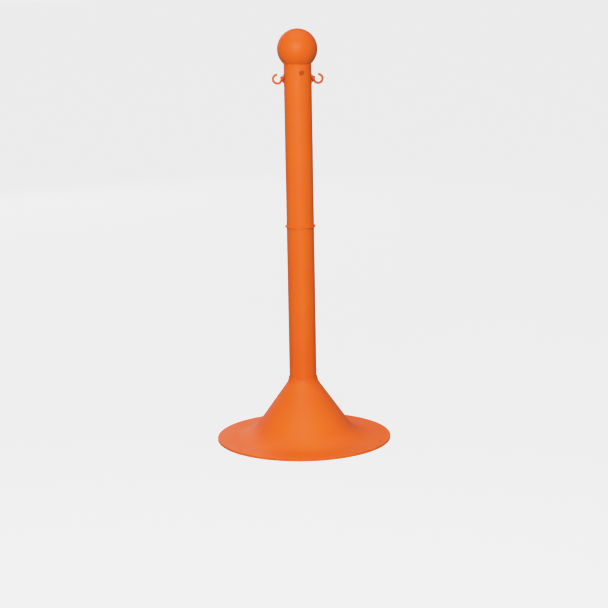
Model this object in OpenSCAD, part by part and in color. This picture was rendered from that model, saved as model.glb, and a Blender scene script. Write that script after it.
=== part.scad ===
// Plastic chain stanchion: a trumpet-shaped base, a post in two tubes, a ball top and two chain hooks.
// Millimetres. The origin is the middle of the base on the floor, +Z is up, the hooks are on -X and +X.

/* [Post] */
// Outside diameter of the post tubes
tube_d = 63.5; // [60:0.5:68]
// Wall thickness of the post tubes
tube_wall = 3; // [2:0.25:3.5]
// Height of the middle of the collar between the two tubes
joint_z = 511; // [400:1:620]
// Height of the upper end of the post
post_top_z = 888; // [800:1:940]
// Height of the collar, which parts the two tubes
collar_h = 4; // [3:0.5:8]
// How far the collar stands out from the tubes
collar_reach = 3.75; // [2:0.25:6]
// Length of the coupler's sleeve in each tube
coupler_grip = 75; // [50:5:110]

/* [Ball top] */
// Diameter of the ball
ball_d = 92.5; // [84:0.5:110]
// Wall thickness of the ball and its spigot
ball_wall = 2.5; // [2:0.25:3]
// Length of the spigot in the upper tube
spigot_grip = 45; // [42:1:70]

/* [Base] */
// Diameter of the base
base_d = 412; // [380:2:460]
// Height of the base, to the top of its neck
base_h = 150; // [135:1:170]
// Wall thickness of the base moulding
base_wall = 2.5; // [2:0.25:3]
// Slope of the cone, in degrees from the vertical
cone_angle = 35.2; // [32:0.2:38]
// Slope of the flat flange, in degrees
flange_angle = 1.7; // [1:0.1:3]
// Height of the base at its edge
rim_h = 5; // [4.5:0.25:8]
// Radius of the sweep from the neck into the cone
neck_sweep = 27; // [15:1:28]
// Radius of the sweep from the cone into the flange
foot_sweep = 65; // [40:1:80]
// Depth of the socket that the post stands in
socket_depth = 105; // [80:1:115]
// Number of gussets between the socket and the cone
gussets = 6; // [3:1:8]

/* [Chain hooks] */
// Depth of the hooks below the upper end of the post
hook_drop = 34.5; // [33:0.5:37]
// Radius of a hook's eye
eye_r = 7.5; // [6:0.25:9]
// Thickness of a hook's ring
ring_t = 5; // [4.5:0.25:6]
// Distance from the tube to the middle of the eye
eye_reach = 15.25; // [15:0.25:17]
// Angle of the eye's mouth
mouth_angle = 55; // [50:1:70]
// Diameter of the flare against the tube
flare_d = 24; // [20:0.5:28]

/* [Fasteners] */
// Depth of the push rivets below the upper end of the post
rivet_drop = 19; // [17:0.5:20]
// Angle of the front push rivet, from the front of the post towards the right
rivet_turn = 16.6; // [0:0.1:40]
// Diameter of a push rivet's head
rivet_head_d = 12; // [9:0.5:13]
// Distance of the rim rivets from the middle of the base
rim_rivet_at = 192; // [160:1:195]
// Direction of the first rim rivet, anticlockwise from +X
rim_rivet_turn = 99; // [0:1:119]

/* [Ballast] */
// Diameter of the filling hole
fill_d = 40; // [30:1:44]
// Distance of the filling hole from the middle of the base
fill_at = 104; // [96:1:106]

/* [Hidden] */
$fn = 96;
orange = [0.94, 0.42, 0.13];
black = [0.12, 0.12, 0.13];

// Gap all round between a shaft and its hole
fit_gap = 0.08;
tube_r = tube_d / 2;
tube_in_r = tube_r - tube_wall;
sleeve_r = tube_in_r - fit_gap;

// Base: the outline is three straight lines, of the neck, the cone and the flange, joined by two sweeps
base_r = base_d / 2;
socket_r = tube_r + fit_gap;
neck_r = socket_r + 2.17;
neck_corner_z = base_h - 9;
socket_floor_z = base_h - socket_depth;
stop_t = 3;
stop_r = tube_in_r - 6;
lip_w = 2.5;
edge_round = 1.2;
tray_top_z = rim_h - 2;
land_r = base_r - 22;
gusset_t = 2.5;
gusset_reach = 0.52 * base_r;
sweep_steps = 10;
down = [0, -1];
cone_way = [sin(cone_angle), -cos(cone_angle)];
flange_way = [cos(flange_angle), -sin(flange_angle)];

// Floor tray
tray_r = base_r - lip_w - 0.5;
tray_bottom_z = 0.6;
tray_rib_h = 5;
hub_r = socket_r - 0.8;
boss_r = fill_d / 2 + 8;
boss_top_z = 8.5;
plug_head_r = fill_d / 2 + 6;
plug_seat_z = 3.8;
fill_turn = 90;

// Rim rivets
rim_pin_r = 2.5;
rim_head_r = 4;
rim_head_t = 0.8;

// Hooks and push rivets
hook_z = post_top_z - hook_drop;
hook_hole_r = 4;
hook_head_r = 5;
hook_slot_w = 2 * hook_head_r + 3;
eye_x = tube_r + eye_reach;
flare_x = tube_r + 0.3;
rivet_z = post_top_z - rivet_drop;
rivet_hole_r = 2.6;
rivet_pin_r = 2.5;
rivet_tail_r = 3.1;
rivet_slot_w = 2 * rivet_tail_r + 0.8;
rivet_turns = [rivet_turn - 90, rivet_turn + 90];

// Ball
ball_r = ball_d / 2;
ball_rise = sqrt(pow(ball_r, 2) - pow(tube_r - 0.4, 2));
ball_z = post_top_z + ball_rise;

// Point where the line through p along u meets the line through q along v
function meet(p, u, q, v) = p + u * cross(q - p, v) / cross(u, v);

// Points of an arc of radius r that turns left from the way `into` to the way `out` at a corner
function sweep(corner, into, out, r) =
    let (
        turn = acos(into * out),
        begin = corner - into * r * tan(turn / 2),
        centre = begin + r * [-into.y, into.x],
        first = atan2(begin.y - centre.y, begin.x - centre.x)
    )
    [for (i = [0 : sweep_steps]) centre + r * [cos(first + turn * i / sweep_steps),
                                               sin(first + turn * i / sweep_steps)]];

// The corner between cone and flange on the face that lies d under the outside of the base
function foot_corner(d) =
    meet([neck_r, neck_corner_z] - d * [cos(cone_angle), sin(cone_angle)], cone_way,
         [base_r, rim_h] - d * [sin(flange_angle), cos(flange_angle)], flange_way);

// Points of that face, from the socket's wall to the flange
function under_face(d) =
    concat([meet(foot_corner(d), cone_way, [neck_r, 0], down)],
           sweep(foot_corner(d), cone_way, flange_way, foot_sweep + d));

function flange_z(r, d = 0) = rim_h + (base_r - r) * tan(flange_angle) - d / cos(flange_angle);

// A cylinder along X from x1 to x2
module rod_x(x1, x2, r) {
    translate([x1, 0, 0]) rotate([0, 90, 0]) cylinder(h = x2 - x1, r = r);
}

// A cone along X
module taper_x(x1, x2, r1, r2) {
    translate([x1, 0, 0]) rotate([0, 90, 0]) cylinder(h = x2 - x1, r1 = r1, r2 = r2);
}

// A round tube on z = 0
module ring(r_out, r_in, h) {
    difference() {
        cylinder(h = h, r = r_out);
        translate([0, 0, -1]) cylinder(h = h + 2, r = r_in);
    }
}

// A push-in sleeve with a chamfer at its far end, standing on z = 0
module sleeve(r_out, wall, h) {
    chamfer = 1;
    rotate_extrude()
        polygon([[r_out - wall, 0], [r_out, 0], [r_out, h - chamfer], [r_out - chamfer, h],
                 [r_out - wall, h]]);
}

// Base moulding: neck, cone, flange and lip, with the socket and its stop inside
module base_shell() {
    lead = 1;
    rotate_extrude()
        polygon(concat(
            [[socket_r + lead, base_h], [neck_r, base_h]],
            sweep([neck_r, neck_corner_z], down, cone_way, neck_sweep),
            sweep(foot_corner(0), cone_way, flange_way, foot_sweep),
            [[base_r - edge_round, flange_z(base_r - edge_round)], [base_r, rim_h - edge_round],
             [base_r, 0], [base_r - lip_w, 0], [base_r - lip_w, tray_top_z],
             [land_r, tray_top_z], [land_r, flange_z(land_r, base_wall)]],
            [for (i = [sweep_steps + 1 : -1 : 0]) under_face(base_wall)[i]],
            [[neck_r, socket_floor_z - stop_t], [stop_r, socket_floor_z - stop_t], [stop_r, socket_floor_z],
             [socket_r, socket_floor_z], [socket_r, base_h - lead]]));
}

// A gusset, which reaches half way into the walls that it joins
module gusset() {
    mid_r = (socket_r + neck_r) / 2;
    rotate([90, 0, 0])
        translate([0, 0, -gusset_t / 2])
            linear_extrude(gusset_t)
                intersection() {
                    polygon(concat([[mid_r, 0], [mid_r, under_face(base_wall / 2)[0].y]],
                                   under_face(base_wall / 2), [[base_r, 0]]));
                    translate([mid_r, socket_floor_z / 4]) square([gusset_reach - mid_r, base_h]);
                }
}

module base_cone() {
    color(orange)
        difference() {
            union() {
                base_shell();
                for (i = [0 : gussets - 1]) rotate(360 / gussets * i) gusset();
            }
            at_rim_rivets() {
                translate([0, 0, -1]) cylinder(h = rim_h + 4, r = rim_pin_r + 0.1);
                translate([0, 0, rim_head_z()]) cylinder(h = rim_h, r = rim_head_r + 0.2);
            }
        }
}

function rim_head_z() = flange_z(rim_rivet_at) - rim_head_t - 0.1;

module at_rim_rivets() {
    for (i = [0 : 2]) rotate(rim_rivet_turn + 120 * i) translate([rim_rivet_at, 0, 0]) children();
}

// Floor tray: a disc with stiffening rings, a hub under the socket and a boss round the filling hole
module base_tray() {
    hub_h = socket_floor_z - stop_t - tray_bottom_z;
    color(orange)
        difference() {
            union() {
                translate([0, 0, tray_bottom_z]) cylinder(h = tray_top_z - tray_bottom_z, r = tray_r);
                translate([0, 0, tray_bottom_z]) ring(hub_r, hub_r - 3, hub_h);
                for (r = [0.36, 0.6] * base_r)
                    translate([0, 0, tray_bottom_z]) ring(r, r - 2, tray_rib_h - tray_bottom_z);
                rotate(fill_turn) translate([fill_at, 0, tray_bottom_z])
                    cylinder(h = boss_top_z - tray_bottom_z, r = boss_r);
            }
            rotate(fill_turn) translate([fill_at, 0, 0]) {
                cylinder(h = boss_top_z + 1, r = fill_d / 2);
                cylinder(h = plug_seat_z, r = plug_head_r + 0.4);
            }
            at_rim_rivets() {
                cylinder(h = rim_h, r = rim_pin_r + 0.1);
                cylinder(h = tray_bottom_z + 1, r = rim_head_r + 0.2);
            }
        }
}

// Push rivets that hold the tray to the base
module rim_rivets() {
    color(orange)
        at_rim_rivets() {
            translate([0, 0, rim_head_z()]) cylinder(h = rim_head_t, r = rim_head_r);
            translate([0, 0, 1]) cylinder(h = rim_head_z() - 0.5, r = rim_pin_r);
            translate([0, 0, tray_bottom_z + 0.1]) cylinder(h = 0.9, r = rim_head_r);
        }
}

// Filling plug: a head with a coin slot and a hollow shank
module fill_plug() {
    shank_r = fill_d / 2 - fit_gap;
    head_bottom_z = tray_bottom_z + 0.8;
    color(black)
        rotate(fill_turn) translate([fill_at, 0, 0])
            difference() {
                translate([0, 0, head_bottom_z]) {
                    cylinder(h = plug_seat_z - head_bottom_z, r = plug_head_r);
                    cylinder(h = boss_top_z - head_bottom_z, r = shank_r);
                }
                translate([0, 0, plug_seat_z]) cylinder(h = boss_top_z, r = shank_r - 2.5);
                translate([0, 0, head_bottom_z + 0.5]) cube([1.1 * fill_d, 3, 3], center = true);
            }
}

module lower_tube() {
    bottom_z = socket_floor_z + stop_t;
    color(orange)
        translate([0, 0, bottom_z]) ring(tube_r, tube_in_r, joint_z - collar_h / 2 - bottom_z);
}

// Plug in the foot of the lower tube, which stands on the socket's stop
module post_foot() {
    color(black)
        translate([0, 0, socket_floor_z]) {
            ring(tube_r - 0.2, sleeve_r - 2.5, stop_t);
            translate([0, 0, stop_t]) sleeve(sleeve_r, 2.5, 15);
        }
}

// Coupler: a collar between the tubes and a sleeve in each of them
module post_coupler() {
    wall = 2.5;
    round_r = collar_h / 2;
    flat_r = tube_r + collar_reach - round_r;
    color(orange)
        translate([0, 0, joint_z]) {
            rotate_extrude() {
                translate([sleeve_r - wall, -round_r]) square([flat_r - sleeve_r + wall, collar_h]);
                intersection() {
                    translate([flat_r, 0]) circle(round_r);
                    translate([flat_r, -round_r]) square([collar_h, collar_h]);
                }
            }
            for (end = [0, 1])
                mirror([0, 0, end]) translate([0, 0, round_r])
                    sleeve(sleeve_r, wall, coupler_grip - round_r);
        }
}

module upper_tube() {
    bottom_z = joint_z + collar_h / 2;
    color(orange)
        difference() {
            translate([0, 0, bottom_z]) ring(tube_r, tube_in_r, post_top_z - bottom_z);
            translate([0, 0, hook_z]) rod_x(-tube_d, tube_d, hook_hole_r);
            translate([0, 0, rivet_z]) rotate(rivet_turn - 90) rod_x(-tube_d, tube_d, rivet_hole_r);
        }
}

// A push rivet along X: a dished head on the tube, a pin through its wall and a spread tail
module post_rivet() {
    head_t = 1.3;
    tail_x = tube_in_r - 0.4;
    difference() {
        union() {
            rod_x(tube_r - 2, tube_r + head_t - 0.5, rivet_head_d / 2);
            taper_x(tube_r + head_t - 0.5, tube_r + head_t, rivet_head_d / 2, rivet_head_d / 2 - 0.8);
        }
        translate([0, 0, -rivet_head_d]) cylinder(h = 2 * rivet_head_d, r = tube_r);
        rod_x(tube_r + head_t - 0.6, tube_r + head_t + 1, 0.3 * rivet_head_d);
    }
    rod_x(tail_x - 1, tube_r + 0.5, rivet_pin_r);
    taper_x(tail_x - 3, tail_x, 1.8, rivet_tail_r);
}

module post_rivets() {
    color(orange)
        for (turn = rivet_turns) translate([0, 0, rivet_z]) rotate(turn) post_rivet();
}

// A slot in the spigot, round at the pin that it passes and open at its lower end
module spigot_slot(turn, pin_z, width) {
    translate([0, 0, pin_z]) rotate(turn) {
        rod_x(tube_r / 2, tube_r, width / 2);
        translate([tube_r / 2, -width / 2, -2 * spigot_grip]) cube([tube_r / 2, width, 2 * spigot_grip]);
    }
}

module ball_top() {
    seat_r = tube_r - 0.4;
    color(orange)
        difference() {
            rotate_extrude() {
                difference() {
                    translate([0, ball_z]) circle(ball_r);
                    translate([0, ball_z]) circle(ball_r - ball_wall);
                    translate([-ball_d, -ball_d]) square([ball_d, 3 * post_top_z]);
                    translate([0, post_top_z - ball_d]) square([ball_d, ball_d]);
                }
                translate([sleeve_r - ball_wall, post_top_z]) square([seat_r - sleeve_r, ball_wall]);
                translate([sleeve_r - ball_wall, post_top_z - spigot_grip])
                    square([ball_wall, spigot_grip + ball_wall]);
            }
            for (turn = [0, 180]) spigot_slot(turn, hook_z, hook_slot_w);
            for (turn = rivet_turns) spigot_slot(turn, rivet_z, rivet_slot_w);
        }
}

// Section of a hook's ring: square with round corners, large outside and small at the eye
module ring_section() {
    corner = 1.7;
    inner = 0.5;
    half = ring_t / 2;
    translate([eye_r, -half + corner]) square([ring_t, ring_t - 2 * corner]);
    translate([eye_r, -half + inner]) square([ring_t - corner, ring_t - 2 * inner]);
    translate([eye_r + inner, -half]) square([ring_t - corner - inner, ring_t]);
    for (side = [-1, 1]) {
        translate([eye_r + ring_t - corner, side * (half - corner)]) circle(corner);
        translate([eye_r + inner, side * (half - inner)]) circle(inner);
    }
}

// Chain hook on +X: a ring open towards the post's top, a flare, a shank and a split snap head
module chain_hook() {
    mouth_end = 147;
    flare_edge = 0.4;
    flare_end_x = eye_x - eye_r - 0.7;
    flare_r = flare_d / 2;
    shank_r = hook_hole_r - 0.05;
    head_x = sqrt(pow(tube_in_r, 2) - pow(hook_head_r, 2)) - 0.4;
    translate([eye_x, 0, 0]) rotate([90, 0, 0])
        rotate(mouth_end) rotate_extrude(angle = 360 - mouth_angle) ring_section();
    // Flare: a concave quarter round, turned about X
    rotate([0, 90, 0])
        rotate_extrude()
            difference() {
                translate([0, flare_x]) square([flare_r, flare_end_x - flare_x]);
                translate([flare_r, flare_end_x]) circle(flare_end_x - flare_x - flare_edge);
            }
    difference() {
        union() {
            rod_x(head_x - 1, flare_x + 1, shank_r);
            taper_x(head_x - 5, head_x - 1, 3.3, hook_head_r);
            rod_x(head_x - 1, head_x, hook_head_r);
        }
        translate([head_x - 6, -hook_hole_r * 2, -0.8]) cube([9, hook_hole_r * 4, 1.6]);
    }
}

module hook_right() {
    color(orange) translate([0, 0, hook_z]) chain_hook();
}

module hook_left() {
    color(orange) mirror([1, 0, 0]) translate([0, 0, hook_z]) chain_hook();
}

base_cone();
base_tray();
rim_rivets();
fill_plug();
lower_tube();
post_foot();
post_coupler();
upper_tube();
post_rivets();
ball_top();
hook_left();
hook_right();
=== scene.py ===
# Looks of a plastic chain stanchion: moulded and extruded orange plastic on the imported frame. Metres.
import math

import bmesh
import bpy
from mathutils import Matrix, Vector


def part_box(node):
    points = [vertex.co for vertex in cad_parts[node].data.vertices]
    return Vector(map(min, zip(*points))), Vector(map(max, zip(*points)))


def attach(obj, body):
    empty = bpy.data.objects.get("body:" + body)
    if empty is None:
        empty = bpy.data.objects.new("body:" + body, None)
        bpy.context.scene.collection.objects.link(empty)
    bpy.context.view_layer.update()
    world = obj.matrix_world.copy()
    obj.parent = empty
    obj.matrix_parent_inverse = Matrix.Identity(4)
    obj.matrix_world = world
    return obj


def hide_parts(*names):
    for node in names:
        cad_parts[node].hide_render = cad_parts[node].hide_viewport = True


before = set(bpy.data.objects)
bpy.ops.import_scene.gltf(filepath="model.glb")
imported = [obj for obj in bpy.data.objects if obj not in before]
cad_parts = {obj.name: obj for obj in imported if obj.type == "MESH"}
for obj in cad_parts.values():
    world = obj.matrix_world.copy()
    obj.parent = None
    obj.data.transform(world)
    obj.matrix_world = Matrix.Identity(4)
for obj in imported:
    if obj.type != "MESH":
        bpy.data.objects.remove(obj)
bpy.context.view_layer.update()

MM = 0.001
scene = bpy.context.scene

# Places and sizes that the frame gives
base_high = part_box("base_cone")[1]
tube_low, tube_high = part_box("lower_tube")
upper_low, upper_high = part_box("upper_tube")
coupler_low, coupler_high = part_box("post_coupler")
ball_low, ball_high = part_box("ball_top")
hook_low, hook_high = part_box("hook_right")
BASE_R = base_high.y
BASE_H = base_high.z
TUBE_R = tube_high.x
POST_TOP = upper_high.z
BALL_TOP = ball_high.z

# Wall thicknesses and fits, as in the part's design
FIT = 0.08 * MM
TUBE_IN_R = TUBE_R - 3 * MM
SLEEVE_R = TUBE_IN_R - FIT
SLEEVE_WALL = 2.5 * MM

# Base: three straight lines, of the neck, the cone and the flange, joined by two sweeps
SOCKET_R = TUBE_R + FIT
NECK_R = SOCKET_R + 2.17 * MM
NECK_CORNER_Z = BASE_H - 9 * MM
SOCKET_FLOOR = tube_low.z - 3 * MM
STOP_R = TUBE_IN_R - 6 * MM
CONE_ANGLE = math.radians(35.2)
FLANGE_ANGLE = math.radians(1.7)
FLANGE_TURN = math.pi / 2 - FLANGE_ANGLE
DOWN = Vector((0, -1))
RIM_H = 5 * MM
BASE_WALL = 2.5 * MM
LIP_W = 2.5 * MM
NECK_SWEEP = 27 * MM
FOOT_SWEEP = 65 * MM
GUSSETS = 6
GUSSET_T = 2.5 * MM
GUSSET_REACH = 0.52 * BASE_R
RIM_RIVET_AT = 192 * MM
RIM_RIVET_TURNS = [99, 219, 339]
RIM_RIVET_RECESS_R = 4.2 * MM
STAGE_R = 30

# Ball and the fasteners below it
SEAT_R = TUBE_R - 0.4 * MM
BALL_R = ball_high.x
BALL_Z = BALL_TOP - BALL_R
BALL_WALL = 2.5 * MM
RING_OUT_R = 12.5 * MM
EYE_R = 7.5 * MM
EYE_X = hook_high.x - RING_OUT_R
HOOK_Z = hook_low.z + RING_OUT_R
RIVET_Z = POST_TOP - 19 * MM
RIVET_TURNS = [-73.4, 106.6]
RIVET_HEAD_R = 6 * MM
RIVET_PIN_R = 2.5 * MM
RIVET_HOLE_R = 2.6 * MM
RIVET_SLOT_W = 7 * MM
HOOK_HOLE_R = 4 * MM
HOOK_SHANK_R = 3.95 * MM
HOOK_SNAP_R = 5 * MM
HOOK_SLOT_W = 13 * MM
HOOK_FLARE_R = 12 * MM
HOOK_RING_TURN = [math.radians(147), math.radians(452)]


# ---------------------------------------------------------------- mesh helpers

def rounded(corners, closed=True):
    """An outline from corners (x, y, radius): each corner with a radius becomes an arc."""
    outline = []
    count = len(corners)
    for i, (x, y, radius) in enumerate(corners):
        here = Vector((x, y))
        if radius == 0 or (not closed and i in (0, count - 1)):
            outline.append(here)
            continue
        back = (Vector(corners[i - 1][:2]) - here).normalized()
        on = (Vector(corners[(i + 1) % count][:2]) - here).normalized()
        half = back.angle(on) / 2
        centre = here + (back + on).normalized() * radius / math.sin(half)
        first = here + back * radius / math.tan(half) - centre
        turn = math.pi - 2 * half
        sign = 1 if back.x * on.y - back.y * on.x < 0 else -1
        steps = max(3, math.ceil(turn / math.radians(5)))
        for k in range(steps + 1):
            angle = sign * turn * k / steps
            spin = Matrix.Rotation(angle, 2)
            outline.append(centre + spin @ first)
    return outline


def new_object(name, bm):
    bmesh.ops.recalc_face_normals(bm, faces=bm.faces)
    mesh = bpy.data.meshes.new(name)
    bm.to_mesh(mesh)
    bm.free()
    obj = bpy.data.objects.new(name, mesh)
    scene.collection.objects.link(obj)
    return obj


def lathe(name, outline, segments=160, closed=True):
    """The outline of (radius, height) points turned about Z."""
    bm = bmesh.new()
    rings = []
    for point in outline:
        if point[0] < 1e-7:
            rings.append([bm.verts.new((0, 0, point[1]))] * segments)
        else:
            rings.append([bm.verts.new((point[0] * math.cos(math.tau * k / segments),
                                        point[0] * math.sin(math.tau * k / segments),
                                        point[1])) for k in range(segments)])
    pairs = list(zip(rings, rings[1:]))
    if closed:
        pairs.append((rings[-1], rings[0]))
    for lower, upper in pairs:
        for k in range(segments):
            nxt = (k + 1) % segments
            face = list(dict.fromkeys([lower[k], lower[nxt], upper[nxt], upper[k]]))
            if len(face) > 2:
                bm.faces.new(face)
    return new_object(name, bm)


def bake_modifiers(obj):
    """The evaluated mesh takes the place of the mesh and its modifiers."""
    bpy.context.view_layer.update()
    graph = bpy.context.evaluated_depsgraph_get()
    mesh = bpy.data.meshes.new_from_object(obj.evaluated_get(graph))
    obj.modifiers.clear()
    obj.data = mesh
    return obj


def combine(obj, others, operation):
    """A boolean of obj with each of the others, which are then gone."""
    for other in others:
        step = obj.modifiers.new(operation.lower(), "BOOLEAN")
        step.operation = operation
        step.solver = "EXACT"
        step.object = other
    bake_modifiers(obj)
    for other in others:
        bpy.data.objects.remove(other)
    return obj


def joined(name, parts):
    """One object that holds the meshes of several."""
    bm = bmesh.new()
    for part in parts:
        part.data.transform(part.matrix_world)
        bm.from_mesh(part.data)
        bpy.data.objects.remove(part)
    mesh = bpy.data.meshes.new(name)
    bm.to_mesh(mesh)
    bm.free()
    obj = bpy.data.objects.new(name, mesh)
    scene.collection.objects.link(obj)
    return obj


def place(obj, matrix):
    obj.data.transform(matrix)
    return obj


def rod(name, radius, start, end, segments=48):
    """A plain cylinder between two points, used as a cutter."""
    start, end = Vector(start), Vector(end)
    obj = lathe(name, [(0, 0), (radius, 0), (radius, (end - start).length), (0, (end - start).length)],
                segments, closed=False)
    turn = Vector((0, 0, 1)).rotation_difference(end - start).to_matrix().to_4x4()
    return place(obj, Matrix.Translation(start) @ turn)


def block(name, low, high):
    """A plain box between two corners, used as a cutter."""
    bm = bmesh.new()
    bmesh.ops.create_cube(bm, size=1)
    low, high = Vector(low), Vector(high)
    for v in bm.verts:
        v.co = [(low[a] + high[a]) / 2 + v.co[a] * (high[a] - low[a]) for a in range(3)]
    return new_object(name, bm)


def smooth(obj, sharp=35):
    """Smooth shading that keeps flat faces flat and edges over the angle crisp."""
    obj.data.polygons.foreach_set("use_smooth", [True] * len(obj.data.polygons))
    obj.data.set_sharp_from_angle(angle=math.radians(sharp))
    weighted = obj.modifiers.new("normals", "WEIGHTED_NORMAL")
    weighted.keep_sharp = True
    return obj


def finish_piece(obj, body, slot, material, *nodes):
    obj.data.materials.clear()
    obj.data.materials.append(material)
    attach(obj, body)
    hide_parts(*nodes)
    return obj


def turned(degrees):
    return Matrix.Rotation(math.radians(degrees), 4, "Z")


# ---------------------------------------------------------------- materials

def plastic(name, colour, deep, roughness, grain=0.03 * MM, streaks=0.0, scuffs=0.15):
    """Pigmented polyethylene: uneven pigment, fine grain, draw lines, and rubbed and scratched patches."""
    material = bpy.data.materials.new(name)
    material.use_nodes = True
    nodes, links = material.node_tree.nodes, material.node_tree.links
    shader = nodes["Principled BSDF"]
    shader.inputs["Specular IOR Level"].default_value = 0.22
    shader.inputs["IOR"].default_value = 1.5
    place_in = nodes.new("ShaderNodeTexCoord").outputs["Object"]

    def noise(scale, detail=3.0, rough=0.55, stretch=(1, 1, 1), distortion=0.0):
        mapping = nodes.new("ShaderNodeMapping")
        mapping.inputs["Scale"].default_value = stretch
        links.new(place_in, mapping.inputs["Vector"])
        tex = nodes.new("ShaderNodeTexNoise")
        tex.inputs["Scale"].default_value = scale
        tex.inputs["Detail"].default_value = detail
        tex.inputs["Roughness"].default_value = rough
        tex.inputs["Distortion"].default_value = distortion
        links.new(mapping.outputs[0], tex.inputs["Vector"])
        return tex.outputs["Fac"]

    def spread(value, low, high, to_low=0.0, to_high=1.0):
        step = nodes.new("ShaderNodeMapRange")
        step.inputs["From Min"].default_value = low
        step.inputs["From Max"].default_value = high
        step.inputs["To Min"].default_value = to_low
        step.inputs["To Max"].default_value = to_high
        links.new(value, step.inputs["Value"])
        return step.outputs["Result"]

    def math_node(operation, a, b):
        step = nodes.new("ShaderNodeMath")
        step.operation = operation
        for socket, value in zip(step.inputs, (a, b)):
            if isinstance(value, (int, float)):
                socket.default_value = value
            else:
                links.new(value, socket)
        return step.outputs[0]

    def mix(factor, a, b):
        step = nodes.new("ShaderNodeMix")
        step.data_type = "RGBA"
        links.new(factor, step.inputs["Factor"])
        for socket, value in ((step.inputs["A"], a), (step.inputs["B"], b)):
            if isinstance(value, tuple):
                socket.default_value = (*value, 1)
            else:
                links.new(value, socket)
        return step.outputs["Result"]

    # Pigment: slow drifts in depth, with a fine speckle on top
    drift = spread(noise(7, 4), 0.35, 0.65)
    speckle = spread(noise(420, 2), 0.3, 0.7, -0.12, 0.12)
    if streaks:
        drawn = spread(noise(60, 4, 0.6, (1, 1, 0.02)), 0.35, 0.65, -0.35, 0.35)
        speckle = math_node("ADD", speckle, drawn)
    depth = math_node("ADD", drift, speckle)
    links.new(mix(depth, deep, colour), shader.inputs["Base Color"])

    # Roughness: cloudy handling marks and thin rubbed patches
    cloudy = spread(noise(28, 5, 0.6), 0.3, 0.7, -0.05, 0.06)
    rubbed = spread(noise(16, 8, 0.75, (1, 1, 0.5), 0.6), 0.56, 0.72, 0.0, scuffs)
    gloss = math_node("ADD", math_node("ADD", cloudy, rubbed), roughness)
    links.new(gloss, shader.inputs["Roughness"])

    # Relief: mould grain, a slow waviness in the wall, and draw lines on a tube
    height = None
    layers = [(noise(1500, 2), grain), (noise(45, 2), 0.10 * MM)]
    if streaks:
        layers.append((noise(260, 3, 0.6, (1, 1, 0.01)), streaks))
    for value, size in layers:
        bump = nodes.new("ShaderNodeBump")
        bump.inputs["Strength"].default_value = 1.0
        bump.inputs["Distance"].default_value = size
        links.new(value, bump.inputs["Height"])
        if height is not None:
            links.new(height, bump.inputs["Normal"])
        height = bump.outputs["Normal"]
    links.new(height, shader.inputs["Normal"])
    return material


ORANGE = (0.87, 0.145, 0.010)
ORANGE_DEEP = (0.84, 0.126, 0.008)
# ORANGE_DARK and ORANGE_BROWN: on the rivet heads this dark orange-brown is painted shade, standing in for
# the shade in the recesses they sit in
ORANGE_DARK = (0.55, 0.070, 0.006)
ORANGE_BROWN = (0.42, 0.075, 0.010)
BLACK = (0.022, 0.022, 0.024)
BLACK_DEEP = (0.014, 0.014, 0.015)

base_plastic = plastic("base_plastic", ORANGE, ORANGE_DEEP, roughness=0.50, scuffs=0.14)
tube_plastic = plastic("tube_plastic", ORANGE, ORANGE_DEEP, roughness=0.52, streaks=0.05 * MM, scuffs=0.10)
ball_plastic = plastic("ball_plastic", ORANGE, ORANGE_DEEP, roughness=0.48, grain=0.02 * MM, scuffs=0.12)
coupler_plastic = plastic("coupler_plastic", ORANGE, ORANGE_DEEP, roughness=0.40)
# Hooks: the deeper orange is in part painted shade, standing in for the dark edges of the thin wire
hook_plastic = plastic("hook_plastic", ORANGE_DEEP, ORANGE_DARK, roughness=0.42)
# Rivet heads: the dark orange-brown is painted shade, standing in for the shade of the recess round each
# rivet
rivet_plastic = plastic("rivet_plastic", ORANGE_DARK, ORANGE_BROWN, roughness=0.45)
tray_plastic = plastic("tray_plastic", ORANGE_DEEP, ORANGE_DARK, roughness=0.55, grain=0.06 * MM)
black_plastic = plastic("black_plastic", BLACK, BLACK_DEEP, roughness=0.5, grain=0.05 * MM)


# ---------------------------------------------------------------- base

def line_meet(p, u, q, v):
    """Where the line through p along u meets the line through q along v."""
    return p + u * ((q - p).cross(v) / u.cross(v))


def way(angle):
    """The way down and outward along a line that slopes `angle` from the vertical."""
    return Vector((math.sin(angle), -math.cos(angle)))


def inward(angle):
    """The way into the wall, square to such a line."""
    return Vector((-math.cos(angle), -math.sin(angle)))


def cone_point(depth):
    """A point of the cone's line on the face that lies `depth` under the outside."""
    return Vector((NECK_R, NECK_CORNER_Z)) + depth * inward(CONE_ANGLE)


def foot_corner(depth):
    """The corner between cone and flange on that face."""
    flange = Vector((BASE_R, RIM_H)) + depth * inward(FLANGE_TURN)
    return line_meet(cone_point(depth), way(CONE_ANGLE), flange, way(FLANGE_TURN))


def cone_at(radius, depth):
    """Where the cone's line on that face meets the upright line at a radius."""
    return line_meet(cone_point(depth), way(CONE_ANGLE), Vector((radius, 0)), DOWN)


def flange_z(radius, depth=0.0):
    return RIM_H + (BASE_R - radius) * math.tan(FLANGE_ANGLE) - depth / math.cos(FLANGE_ANGLE)


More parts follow.
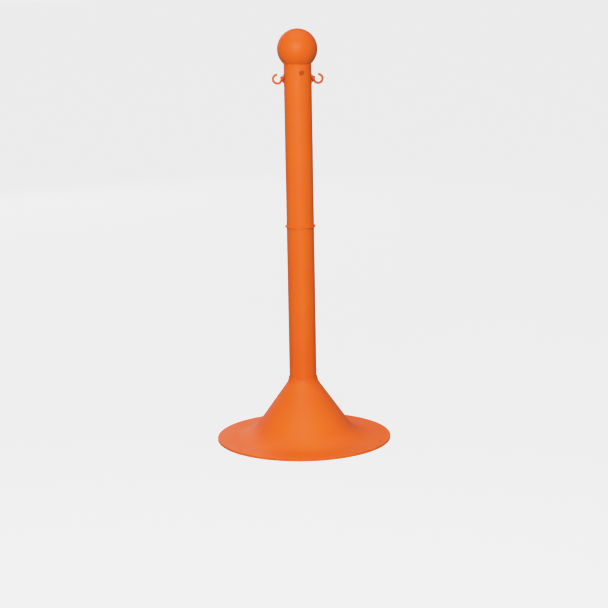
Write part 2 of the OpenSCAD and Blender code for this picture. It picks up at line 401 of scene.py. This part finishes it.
def make_base():
    lead = 1 * MM
    land_r = BASE_R - 22 * MM
    tray_top = RIM_H - 2 * MM
    corners = [
        (SOCKET_R + lead, BASE_H, 0.2 * MM),
        (NECK_R, BASE_H, 0.6 * MM),
        (NECK_R, NECK_CORNER_Z, NECK_SWEEP),
        (*foot_corner(0), FOOT_SWEEP),
        (BASE_R, RIM_H, 1.2 * MM),
        (BASE_R, 0, 0.5 * MM),
        (BASE_R - LIP_W, 0, 0.5 * MM),
        (BASE_R - LIP_W, tray_top, 0),
        (land_r, tray_top, 0),
        (land_r, flange_z(land_r, BASE_WALL), 0),
        (*foot_corner(BASE_WALL), FOOT_SWEEP + BASE_WALL),
        (*cone_at(NECK_R, BASE_WALL), 1 * MM),
        (NECK_R, SOCKET_FLOOR - 3 * MM, 0.4 * MM),
        (STOP_R, SOCKET_FLOOR - 3 * MM, 0.4 * MM),
        (STOP_R, SOCKET_FLOOR, 0.4 * MM),
        (SOCKET_R, SOCKET_FLOOR, 0),
        (SOCKET_R, BASE_H - lead, 0.2 * MM),
    ]
    base = lathe("base_moulding", rounded(corners), 288)
    cutters = []
    for turn in RIM_RIVET_TURNS:
        x = RIM_RIVET_AT * math.cos(math.radians(turn))
        y = RIM_RIVET_AT * math.sin(math.radians(turn))
        seat = flange_z(RIM_RIVET_AT) - 0.9 * MM
        cutters.append(rod("recess", RIM_RIVET_RECESS_R, (x, y, seat), (x, y, RIM_H + 4 * MM)))
        cutters.append(rod("hole", RIVET_HOLE_R, (x, y, -1 * MM), (x, y, RIM_H + 2 * MM)))
    combine(base, cutters, "DIFFERENCE")
    smooth(base, 30)
    return finish_piece(base, "base", "base_plastic", base_plastic, "base_cone")


def make_gussets():
    """Webs between the socket and the cone, inside the closed base."""
    inner = (SOCKET_R + NECK_R) / 2
    low = SOCKET_FLOOR / 4
    web = [(inner, low), (GUSSET_REACH, low),
           tuple(cone_at(GUSSET_REACH, BASE_WALL / 2)), tuple(cone_at(inner, BASE_WALL / 2))]
    parts = []
    for k in range(GUSSETS):
        bm = bmesh.new()
        for side in (-1, 1):
            bm.faces.new([bm.verts.new((r, side * GUSSET_T / 2, z)) for r, z in web])
        bm.verts.ensure_lookup_table()
        count = len(web)
        for i in range(count):
            j = (i + 1) % count
            bm.faces.new([bm.verts[i], bm.verts[j], bm.verts[count + j], bm.verts[count + i]])
        part = new_object("web", bm)
        parts.append(place(part, turned(360 / GUSSETS * k)))
    gussets = joined("base_gussets", parts)
    gussets.data.materials.append(base_plastic)
    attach(gussets, "base")


def make_rim_rivets():
    """Push rivets: a low head with a ring round its centre pin, and a spread tail under the tray."""
    seat = flange_z(RIM_RIVET_AT) - 0.9 * MM
    top = seat + 0.8 * MM
    tail = 0.7 * MM
    corners = [
        (0, top - 0.1 * MM, 0),
        (1.5 * MM, top - 0.1 * MM, 0.1 * MM),
        (1.6 * MM, top - 0.5 * MM, 0.1 * MM),
        (2.2 * MM, top - 0.5 * MM, 0.1 * MM),
        (2.3 * MM, top, 0.1 * MM),
        (4 * MM, top - 0.1 * MM, 0.3 * MM),
        (4 * MM, seat, 0.1 * MM),
        (RIVET_PIN_R, seat, 0),
        (RIVET_PIN_R, tail + 0.9 * MM, 0),
        (4 * MM, tail + 0.9 * MM, 0.1 * MM),
        (4 * MM, tail, 0.2 * MM),
        (0, tail, 0),
    ]
    parts = []
    for turn in RIM_RIVET_TURNS:
        part = lathe("rim_rivet", rounded(corners, closed=False), 48, closed=False)
        parts.append(place(part, turned(turn) @ Matrix.Translation((RIM_RIVET_AT, 0, 0))))
    rivets = smooth(joined("rim_push_rivets", parts))
    # The rivets' dark colour is painted shade
    return finish_piece(rivets, "base", "rivet_plastic", rivet_plastic, "rim_rivets")


# ---------------------------------------------------------------- post

def tube_outline(low, high):
    edge = 0.4 * MM
    return rounded([(TUBE_IN_R, low, edge), (TUBE_R, low, edge),
                    (TUBE_R, high, edge), (TUBE_IN_R, high, edge)])


def make_lower_tube():
    tube = smooth(lathe("lower_post_tube", tube_outline(tube_low.z, tube_high.z)))
    return finish_piece(tube, "lower_post", "tube_plastic", tube_plastic, "lower_tube")


def make_upper_tube():
    tube = lathe("upper_post_tube", tube_outline(upper_low.z, upper_high.z))
    reach = 2 * TUBE_R
    cutters = [rod("hook_hole", HOOK_HOLE_R, (-reach, 0, HOOK_Z), (reach, 0, HOOK_Z))]
    turn = math.radians(RIVET_TURNS[0])
    across = Vector((math.cos(turn), math.sin(turn), 0)) * reach
    height = Vector((0, 0, RIVET_Z))
    cutters.append(rod("rivet_hole", RIVET_HOLE_R, height - across, height + across))
    smooth(combine(tube, cutters, "DIFFERENCE"))
    return finish_piece(tube, "upper_post", "tube_plastic", tube_plastic, "upper_tube")


def make_coupler():
    collar_r = coupler_high.x
    middle = (coupler_low.z + coupler_high.z) / 2
    half = (upper_low.z - tube_high.z) / 2
    inner = SLEEVE_R - SLEEVE_WALL
    corners = [
        (inner, coupler_low.z, 0.4 * MM),
        (SLEEVE_R - 1 * MM, coupler_low.z, 0.2 * MM),
        (SLEEVE_R, coupler_low.z + 1 * MM, 0.4 * MM),
        (SLEEVE_R, middle - half, 0),
        (collar_r, middle - half, 1.6 * MM),
        (collar_r, middle + half, 1.6 * MM),
        (SLEEVE_R, middle + half, 0),
        (SLEEVE_R, coupler_high.z - 1 * MM, 0.4 * MM),
        (SLEEVE_R - 1 * MM, coupler_high.z, 0.2 * MM),
        (inner, coupler_high.z, 0.4 * MM),
    ]
    coupler = smooth(lathe("post_joint_coupler", rounded(corners)))
    return finish_piece(coupler, "lower_post", "coupler_plastic", coupler_plastic, "post_coupler")


def make_post_rivets():
    """Push rivets whose heads follow the tube: a rim, a ring groove and a centre pin."""
    head = [
        (0, 0.7 * MM, 0),
        (2.2 * MM, 0.7 * MM, 0.2 * MM),
        (2.4 * MM, 0.1 * MM, 0.1 * MM),
        (3.3 * MM, 0.1 * MM, 0.1 * MM),
        (3.6 * MM, 1.2 * MM, 0.2 * MM),
        (RIVET_HEAD_R - 0.8 * MM, 1.3 * MM, 0.6 * MM),
        (RIVET_HEAD_R, 0.6 * MM, 0.3 * MM),
        (RIVET_HEAD_R, -0.05 * MM, 0),
        (RIVET_PIN_R, -0.05 * MM, 0),
        (RIVET_PIN_R, -3.4 * MM, 0),
        (3.1 * MM, -3.4 * MM, 0.1 * MM),
        (1.8 * MM, -6.4 * MM, 0.3 * MM),
        (0, -6.4 * MM, 0),
    ]
    parts = []
    for turn in RIVET_TURNS:
        part = lathe("post_rivet", rounded(head, closed=False), 64, closed=False)
        for v in part.data.vertices:
            across, up, out = v.co
            around = math.radians(turn) + across / TUBE_R
            v.co = ((TUBE_R + out) * math.cos(around), (TUBE_R + out) * math.sin(around), RIVET_Z + up)
        parts.append(part)
    rivets = smooth(joined("post_push_rivets", parts))
    # The rivets' dark colour is painted shade
    return finish_piece(rivets, "upper_post", "rivet_plastic", rivet_plastic, "post_rivets")


# ---------------------------------------------------------------- ball top

def make_ball():
    """A hollow ball on a slotted spigot, with the mark of the gate on its crown."""
    inner_r = BALL_R - BALL_WALL
    spigot_in = SLEEVE_R - SLEEVE_WALL
    low = ball_low.z
    gate_r = 3.2 * MM
    seat_angle = math.asin((POST_TOP - BALL_Z) / BALL_R)
    gate_angle = math.acos(gate_r / BALL_R)
    steps = 72
    outline = rounded([(spigot_in, low, 0.4 * MM), (SLEEVE_R - 1 * MM, low, 0.2 * MM),
                       (SLEEVE_R, low + 1 * MM, 0.4 * MM), (SLEEVE_R, POST_TOP, 0)], closed=False)
    outline.append(Vector((SEAT_R - 0.3 * MM, POST_TOP)))
    for k in range(steps + 1):
        angle = seat_angle + (gate_angle - seat_angle) * k / steps
        outline.append(Vector((BALL_R * math.cos(angle), BALL_Z + BALL_R * math.sin(angle))))
    crown = outline[-1].y
    outline += [Vector(p) for p in ((gate_r - 0.25 * MM, crown - 0.3 * MM), (1.2 * MM, crown - 0.25 * MM),
                                    (1.0 * MM, crown - 0.05 * MM), (0, crown))]
    inner_low = math.asin((POST_TOP + BALL_WALL - BALL_Z) / inner_r)
    for k in range(steps // 2 + 1):
        angle = math.pi / 2 + (inner_low - math.pi / 2) * k / (steps // 2)
        outline.append(Vector((max(0, inner_r * math.cos(angle)), BALL_Z + inner_r * math.sin(angle))))
    outline.append(Vector((spigot_in, POST_TOP + BALL_WALL)))
    ball = lathe("ball_finial", outline, 160)
    cutters = []
    for turn, height, width in [(0, HOOK_Z, HOOK_SLOT_W), (180, HOOK_Z, HOOK_SLOT_W),
                                (RIVET_TURNS[0], RIVET_Z, RIVET_SLOT_W),
                                (RIVET_TURNS[1], RIVET_Z, RIVET_SLOT_W)]:
        spin = turned(turn)
        pin = rod("slot_end", width / 2, (TUBE_R / 2, 0, height), (TUBE_R, 0, height))
        slot = block("slot", (TUBE_R / 2, -width / 2, low - 0.01), (TUBE_R, width / 2, height))
        cutters += [place(pin, spin), place(slot, spin)]
    smooth(combine(ball, cutters, "DIFFERENCE"), 30)
    return finish_piece(ball, "ball_top", "ball_plastic", ball_plastic, "ball_top")


# ---------------------------------------------------------------- hooks

def ring_section(width, height):
    """Outline of the ring's wire: square with round corners, larger ones outside."""
    half = height / 2
    outer, inner = 0.34 * height, 0.12 * height
    return rounded([(0, -half, inner), (width, -half, outer), (width, half, outer), (0, half, inner)])


def make_hook(name, node, body, side):
    """A C-shaped eye on a flared root, with a shank and a split snap head behind the tube's wall."""
    wire = RING_OUT_R - EYE_R
    first, last = HOOK_RING_TURN
    stations = 96
    tip = 2.2 * MM
    bm = bmesh.new()
    rings = []
    length = (last - first) * (EYE_R + wire / 2)
    for k in range(stations + 1):
        share = k / stations
        angle = first + (last - first) * share
        to_tip = (1 - share) * length
        size = math.sqrt(max(0.04, 1 - (1 - min(1, to_tip / tip)) ** 2))
        ring = []
        for across, up in ring_section(wire, wire):
            across = wire / 2 + (across - wire / 2) * size
            radius = EYE_R + across
            ring.append(bm.verts.new((EYE_X + radius * math.cos(angle), up * size,
                                      HOOK_Z + radius * math.sin(angle))))
        rings.append(ring)
    count = len(rings[0])
    for one, two in zip(rings, rings[1:]):
        for i in range(count):
            j = (i + 1) % count
            bm.faces.new([one[i], one[j], two[j], two[i]])
    bm.faces.new(rings[0])
    bm.faces.new(rings[-1])
    hook = new_object(name, bm)

    # Root and shank: turned about X
    flare_x = TUBE_R + 0.3 * MM
    flare_end = EYE_X - EYE_R - 0.7 * MM
    edge = 0.4 * MM
    arc = flare_end - flare_x - edge
    head_x = math.sqrt(TUBE_IN_R ** 2 - HOOK_SNAP_R ** 2) - 0.4 * MM
    outline = [(0, head_x - 5 * MM), (3.3 * MM, head_x - 5 * MM), (HOOK_SNAP_R, head_x - 1 * MM),
               (HOOK_SNAP_R, head_x), (HOOK_SHANK_R, head_x), (HOOK_SHANK_R, flare_x),
               (HOOK_FLARE_R - 0.1 * MM, flare_x), (HOOK_FLARE_R, flare_x + 0.15 * MM)]
    for k in range(17):
        angle = math.pi / 2 * k / 16
        outline.append((HOOK_FLARE_R - arc * math.sin(angle), flare_end - arc * math.cos(angle)))
    outline.append((0, flare_end))
    root = lathe("root", outline, 96, closed=False)
    place(root, Matrix.Translation((0, 0, HOOK_Z)) @ Matrix.Rotation(math.pi / 2, 4, "Y"))
    combine(hook, [root], "UNION")

    # Moulded blend between ring and root
    remesh = hook.modifiers.new("remesh", "REMESH")
    remesh.mode = "VOXEL"
    remesh.voxel_size = 0.28 * MM
    blend = hook.modifiers.new("blend", "SMOOTH")
    blend.factor = 0.5
    blend.iterations = 5
    bake_modifiers(hook)
    slit = block("slit", (head_x - 0.006, -0.008, HOOK_Z - 0.8 * MM),
                 (head_x + 0.003, 0.008, HOOK_Z + 0.8 * MM))
    combine(hook, [slit], "DIFFERENCE")
    if side < 0:
        place(hook, Matrix.Scale(-1, 4, (1, 0, 0)))
        hook.data.flip_normals()
    smooth(hook, 40)
    # The hook's deeper orange is in part painted shade
    return finish_piece(hook, body, "hook_plastic", hook_plastic, node)


# ---------------------------------------------------------------- stage

def stage_paint(name, colour, glow):
    """Matt white stage paint with a glow of its own, so that floor and backdrop read as one pale sheet."""
    paint = bpy.data.materials.new(name)
    paint.use_nodes = True
    shader = paint.node_tree.nodes["Principled BSDF"]
    shader.inputs["Base Color"].default_value = (colour, colour, colour, 1)
    shader.inputs["Roughness"].default_value = 0.9
    shader.inputs["Specular IOR Level"].default_value = 0
    shader.inputs["Emission Color"].default_value = (1, 1, 1, 1)
    shader.inputs["Emission Strength"].default_value = glow
    return paint


def set_stage(obj, paint):
    """Seen by the camera and shadowed by the object, but throws no light on it."""
    obj.data.materials.append(paint)
    obj.visible_diffuse = False
    obj.visible_glossy = False
    obj.visible_transmission = False
    obj.visible_shadow = False


def make_stage():
    bm = bmesh.new()
    bmesh.ops.create_grid(bm, x_segments=1, y_segments=1, size=STAGE_R)
    set_stage(new_object("floor", bm), stage_paint("floor_paint", 0.40, 0.75))
    wall = lathe("backdrop", [(STAGE_R, -1), (STAGE_R, STAGE_R)], 64, closed=False)
    set_stage(wall, stage_paint("backdrop_paint", 0.0, 1.08))


def make_light(name, place_at, target, size, power):
    light = bpy.data.lights.new(name, "AREA")
    light.shape = "RECTANGLE"
    light.size, light.size_y = size
    light.energy = power
    obj = bpy.data.objects.new(name, light)
    obj.location = place_at
    obj.rotation_euler = (Vector(target) - Vector(place_at)).to_track_quat("-Z", "Y").to_euler()
    obj.visible_camera = False
    scene.collection.objects.link(obj)


def make_lights():
    """A frontal key above the lens, a wide light behind on the left and a soft light overhead."""
    world = bpy.data.worlds.new("studio")
    scene.world = world
    world.use_nodes = True
    sky = world.node_tree.nodes["Background"]
    sky.inputs["Color"].default_value = (1, 1, 1, 1)
    sky.inputs["Strength"].default_value = 0.27
    middle = (0, 0, 0.45)
    make_light("key", (-0.3, -2.6, 1.5), middle, (1.4, 1.4), 78)
    make_light("back", (-1.6, 3.9, 1.5), (0, 0, 0.2), (3.0, 2.4), 31)
    overhead = bpy.data.lights.new("overhead", "SUN")
    overhead.energy = 1.1
    overhead.angle = math.radians(70)
    scene.collection.objects.link(bpy.data.objects.new("overhead", overhead))


def set_response():
    """A plain picture with a soft shoulder: the brightest parts are held back as a camera does."""
    view = scene.view_settings
    view.view_transform = "Standard"
    view.use_curve_mapping = True
    mapping = view.curve_mapping
    brightest = 4.0
    mapping.white_level = (brightest, brightest, brightest)
    curve = mapping.curves[3]
    shoulder = [(0.6, 0.6), (0.8, 0.755), (1.0, 0.835), (1.25, 0.87), (1.6, 0.895), (2.5, 0.94)]
    for seen, shown in shoulder:
        curve.points.new(seen / brightest, shown)
    for point in curve.points:
        point.handle_type = "VECTOR"
    mapping.update()


def make_camera():
    """A long lens, looking down a little, with the camera rolled as the photographer held it."""
    data = bpy.data.cameras.new("camera")
    data.lens = 107.66
    data.sensor_width = 36
    camera = bpy.data.objects.new("camera", data)
    pitch, roll = math.radians(11.59), math.radians(1.03)
    look = Matrix.Rotation(math.pi / 2 - pitch, 4, "X") @ Matrix.Rotation(-roll, 4, "Z")
    camera.matrix_world = Matrix.Translation((0.0052, -4.2, 1.186)) @ look
    scene.collection.objects.link(camera)
    scene.camera = camera


make_camera()
make_base()
make_gussets()
make_rim_rivets()
make_lower_tube()
make_upper_tube()
make_coupler()
make_post_rivets()
make_ball()
make_hook("chain_hook_right", "hook_right", "hook_right", 1)
make_hook("chain_hook_left", "hook_left", "hook_left", -1)
for node_name, slot_name, finish in [("base_tray", "tray_plastic", tray_plastic),
                                     ("fill_plug", "black_plastic", black_plastic),
                                     ("post_foot", "black_plastic", black_plastic)]:
    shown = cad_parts[node_name]
    shown.data.materials.clear()
    shown.data.materials.append(finish)
make_stage()
make_lights()
set_response()
